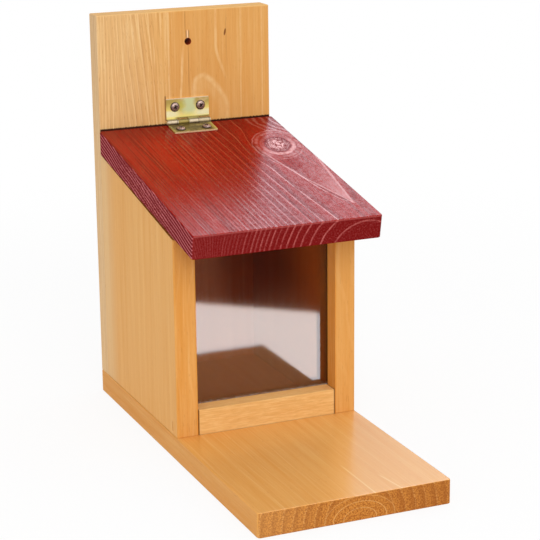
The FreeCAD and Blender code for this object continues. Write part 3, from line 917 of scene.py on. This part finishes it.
def new_piece(name, mesh, smooth=True):
    """Object of that bmesh, which it uses up."""
    data = bpy.data.meshes.new(name)
    bmesh.ops.recalc_face_normals(mesh, faces=mesh.faces[:])
    mesh.to_mesh(data)
    mesh.free()
    if smooth:
        data.shade_smooth()
    return new_object(name, data)


def bake_modifiers(piece):
    """The piece's mesh becomes what its modifiers make of it."""
    bpy.context.view_layer.update()
    seen = piece.evaluated_get(bpy.context.evaluated_depsgraph_get())
    data = bpy.data.meshes.new_from_object(seen)
    piece.modifiers.clear()
    piece.data = data


def steel_paint(look, name, hollow=None):
    """Zinc plated steel, dulled in patches, with painted shade where hollow says."""
    paint = new_paint(name)
    x, y, z = paint.place()
    patch = paint.noise(x * 0.8, y * 0.8, z * 0.8, 3)
    colour = paint.mix(patch.rise(0.4, 0.65), look.steel, look.dull)
    if hollow:
        colour = paint.mix(hollow(x, y, z) * 0.95, colour, look.shadow)
    grit = paint.noise(x * 5, y * 5, z * 5, 2)
    return paint.close(paint.gloss(
        Base_Color=colour, Metallic=0.8, Roughness=patch * 0.25 + 0.26, Normal=paint.bump(grit, 0.01)))


def screw_heads(node, out):
    """Foot of each head of a node's two screws, the head's radius and the shank's length, from its vertices."""
    dome = bpy.context.scene.feeder_metal.dome
    points = [v.co for v in frame["nodes"][node].data.vertices]
    middle = sum(p.x for p in points) / len(points)
    across = Vector((1, 0, 0))
    beside = out.cross(across)
    feet = []
    for side in (-1, 1):
        own = [p for p in points if (p.x - middle) * side > 0]
        spans = [(min(p.dot(axis) for p in own), max(p.dot(axis) for p in own)) for axis in (across, beside, out)]
        feet.append(across * sum(spans[0]) / 2 + beside * sum(spans[1]) / 2 + out * (spans[2][1] - dome))
    return feet, (spans[0][1] - spans[0][0]) / 2, spans[2][1] - spans[2][0] - dome


class FEEDER_OT_hinge_screws(bpy.types.Operator):
    """Makes the four pan head screws of the hinge, each with its own turn of the recess"""
    bl_idname = "feeder.hinge_screws"
    bl_label = "Hinge screws"

    def execute(self, context):
        look = context.scene.feeder_metal
        groups = (
            ("upper_leaf_screws", "feeder_body", UPPER_OUT, (20, 40)),
            ("lid_leaf_screws", "lid", lid_plane()[1], (65, 10)),
        )
        for node, body, out, turns in groups:
            feet, head_radius, shank = screw_heads(node, out)
            steel = self.paint(look, "bright_zinc_" + node, head_radius / MM)
            for foot, turn, side in zip(feet, turns, ("left", "right")):
                mesh = pan_head_mesh(look, head_radius / MM, SHANK_RADIUS, shank / MM)
                screw = new_piece(node.removesuffix("s") + "_" + side, mesh)
                cutter = new_piece("recess_cutter", cross_cutter(look), False)
                cut = screw.modifiers.new("recess", "BOOLEAN")
                cut.object = cutter
                cut.operation = "DIFFERENCE"
                cut.solver = "EXACT"
                cut.use_self = True
                bake_modifiers(screw)
                bpy.data.objects.remove(cutter)
                aim = out.to_track_quat("Z", "Y").to_matrix().to_4x4()
                screw.matrix_world = Matrix.Translation(foot) @ aim @ Matrix.Rotation(math.radians(turn), 4, "Z")
                wear(screw, steel)
                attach(screw, body)
                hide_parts(node)
        return {"FINISHED"}

    @staticmethod
    def paint(look, name, head_radius):
        """Plated steel with painted shade where a point lies lower than the dome over it, over the head's middle and
        outer ring, and on its side and shank.
        """
        ball = dome_ball(look, head_radius)

        def painted_head_shade(x, y, z):
            around = x * x + y * y
            dome = (ball ** 2 - around).most(0).root() + (look.dome / MM - ball)
            cut = (dome - z).rise(0.05, 0.25) * around.fall(head_radius, head_radius * 1.5)
            # Painted shade over the head's middle and round its outer ring
            wear_and_shade = around.fall(1, 5) * z.rise(0.8, 1.2) * 0.35 + around.rise(7.8, 10.5) * 0.7
            return cut.most(wear_and_shade).most(z.fall(0.6, 1) * 0.9)

        return steel_paint(look, name, painted_head_shade)


class FEEDER_OT_staples(bpy.types.Operator):
    """Dresses the staples that hold the boards together"""
    bl_idname = "feeder.staples"
    bl_label = "Staples"

    def execute(self, context):
        steel = steel_paint(context.scene.feeder_metal, "bright_zinc_staple")
        for node in frame["nodes"]:
            if node.endswith(("staple", "staples")):
                dress(node, steel)
        return {"FINISHED"}


# Stage
def new_lamp(name, place, target, width, height, power):
    data = bpy.data.lights.new(name, "AREA")
    data.shape = "RECTANGLE"
    data.size = width
    data.size_y = height
    data.energy = power
    lamp = new_object(name, data)
    lamp.location = place
    lamp.rotation_euler = (Vector(target) - Vector(place)).to_track_quat("-Z", "Y").to_euler()
    return lamp


class FEEDER_OT_stage(bpy.types.Operator):
    """Sets up the camera, the white floor and the soft studio light"""
    bl_idname = "feeder.stage"
    bl_label = "Stage"

    def execute(self, context):
        look = context.scene.feeder_stage
        self.camera(context, look)
        self.floor()
        self.world(context, look)
        new_lamp("key_softbox", (-0.3, -1.65, 1.1), (0, -0.1, 0.12), 1.1, 1.1, look.key)

        # The lit floor, which only the pane mirrors. It lies on the card, from the cut edge inwards.
        wide, deep = 1.4, 0.6
        edge = Vector((0.765, 0.644, 0)).normalized()
        inward = Vector((-edge.y, edge.x, 0))
        middle = Vector((0.1285, -0.4525, 0.0006)) + inward * deep / 2
        glow = new_lamp(
            "floor_glow", middle, middle + Vector((0, 0, 1)), wide, deep, look.glow * math.pi * wide * deep)
        glow.rotation_euler = Matrix((edge, -inward, Vector((0, 0, -1)))).transposed().to_euler()
        glow.data.color = (0.88, 0.95, 1)
        glow.visible_diffuse = False
        glow.visible_transmission = False
        glow.visible_camera = False
        mirrors = bpy.data.collections.new("glow_mirrors")
        mirrors.objects.link(frame["nodes"]["front_pane"])
        glow.light_linking.receiver_collection = mirrors
        context.scene.view_settings.view_transform = "Standard"
        return {"FINISHED"}

    @staticmethod
    def camera(context, look):
        """The photo's camera."""
        a, e, r = -look.azimuth, look.elevation, look.roll
        forward = Vector((-math.sin(a) * math.cos(e), math.cos(a) * math.cos(e), -math.sin(e)))
        level = Vector((math.cos(a), math.sin(a), 0))
        upright = level.cross(forward)
        right = level * math.cos(r) + upright * math.sin(r)
        up = upright * math.cos(r) - level * math.sin(r)
        data = bpy.data.cameras.new("camera")
        data.lens = look.lens
        data.sensor_width = 36
        camera = new_object("camera", data)
        turn = Matrix((right, up, -forward)).transposed().to_4x4()
        camera.matrix_world = Matrix.Translation(Vector(look.target) - forward * look.distance) @ turn
        context.scene.camera = camera

    @staticmethod
    def floor():
        """White card, cut along the line where the floor ends in the pane."""
        mesh = bmesh.new()
        corners = ((-1.2, -1.572), (0.62, -0.038), (1.6, 0.7), (1.6, 2), (-1.2, 2))
        mesh.faces.new([mesh.verts.new((x, y, 0)) for x, y in corners])
        floor = new_piece("floor", mesh, False)
        paint = new_paint("white_card")
        seen = paint.node("ShaderNodeLightPath", (), (), "Is Camera Ray")
        x, y, z = paint.place()
        tooth = paint.noise(x * 0.4, y * 0.4, z, 2)
        card = paint.gloss(
            Base_Color=paint.mix(tooth, (0.88, 0.88, 0.88), (0.92, 0.92, 0.92)), Roughness=0.9,
            Specular_IOR_Level=0.1)
        white = paint.node("ShaderNodeEmission", (), {"Color": (1, 1, 1, 1), "Strength": 1})
        far = distance(x, y).rise(300, 800)
        paint.close(paint.blend(seen * (far * 0.14 + 0.86), card, white))
        wear(floor, paint.owner)

    @staticmethod
    def world(context, look):
        """White to the camera, even light for the rest, and to mirrors two softboxes behind and a room in front."""
        world = bpy.data.worlds.new("studio")
        context.scene.world = world
        paint = Paint(world)
        seen, mirrored, passed = [
            paint.node("ShaderNodeLightPath", (), (), name)
            for name in ("Is Camera Ray", "Is Glossy Ray", "Is Transmission Ray")]
        x, y, z = paint.axes(paint.node("ShaderNodeTexCoord", output="Generated"))

        def glow(strength, colour=(1, 1, 1)):
            return paint.node("ShaderNodeBackground", (), {"Color": (*colour, 1), "Strength": strength})

        room = paint.blend(z.rise(-0.15, 0.15), glow(look.bounce), glow(look.sky))
        high = x.rise(0.312, 0.356) * z.rise(0.45, 0.48)
        low = x.rise(0.385, 0.43) * z.rise(0.2, 0.3) * z.fall(0.42, 0.47)
        behind = paint.blend(low, glow(0.06), glow(look.low_sheen))
        behind = paint.blend(high, behind, glow(look.high_sheen, (0.92, 0.9, 1)))
        below = z.fall(-0.12, -0.06)
        edge = x + (paint.noise(x * 30, 5, z * 40, 3) - 0.5) * 0.014
        pale = edge.fall(0.348, 0.354).most(edge.rise(0.364, 0.374) * z.fall(-0.284, -0.277) * 0.6)
        front = paint.blend(z.rise(-0.12, 0.05), glow(0.02), glow(0.45))
        front = paint.blend(z.rise(0.35, 0.6), front, glow(1.5))
        front = paint.blend(pale * below, front, glow(0.42, (1, 0.48, 0.28)))
        front = paint.blend(x.rise(0.382, 0.404) * below, front, glow(0.63, (1, 0.24, 0.04)))
        studio = paint.blend(y.fall(-0.15, 0.15), behind, front)
        lit = paint.blend((mirrored + passed).least(1), room, studio)
        paint.close(paint.blend(seen, lit, glow(1)), "ShaderNodeOutputWorld")


class FEEDER_PT_panel(bpy.types.Panel):
    """Lists what the add-on makes"""
    bl_idname = "FEEDER_PT_panel"
    bl_label = "Squirrel feeder box"
    bl_space_type = "VIEW_3D"
    bl_region_type = "UI"
    bl_category = "Feeder"

    def draw(self, context):
        for operator in OPERATORS:
            self.layout.operator(operator.bl_idname)
        for name in LOOKS:
            box = self.layout.box()
            group = getattr(context.scene, name)
            for key in group.bl_rna.properties.keys():
                if key not in ("rna_type", "name"):
                    box.prop(group, key)


LOOKS = {
    "feeder_pine": PineLook,
    "feeder_stain": StainLook,
    "feeder_metal": MetalLook,
    "feeder_pane": PaneLook,
    "feeder_stage": StageLook,
}
OPERATORS = (
    FEEDER_OT_back_board,
    FEEDER_OT_base_board,
    FEEDER_OT_side_panels,
    FEEDER_OT_front_sill,
    FEEDER_OT_lid,
    FEEDER_OT_front_pane,
    FEEDER_OT_hinge,
    FEEDER_OT_hinge_screws,
    FEEDER_OT_staples,
    FEEDER_OT_stage,
)


def register():
    for name, look in LOOKS.items():
        bpy.utils.register_class(look)
        setattr(bpy.types.Scene, name, bpy.props.PointerProperty(type=look))
    for operator in OPERATORS:
        bpy.utils.register_class(operator)
    bpy.utils.register_class(FEEDER_PT_panel)


def unregister():
    bpy.utils.unregister_class(FEEDER_PT_panel)
    for operator in reversed(OPERATORS):
        bpy.utils.unregister_class(operator)
    for name, look in LOOKS.items():
        delattr(bpy.types.Scene, name)
        bpy.utils.unregister_class(look)


def main():
    register()
    for operator in OPERATORS:
        group, name = operator.bl_idname.split(".")
        getattr(getattr(bpy.ops, group), name)()


if __name__ == "__main__":
    main()
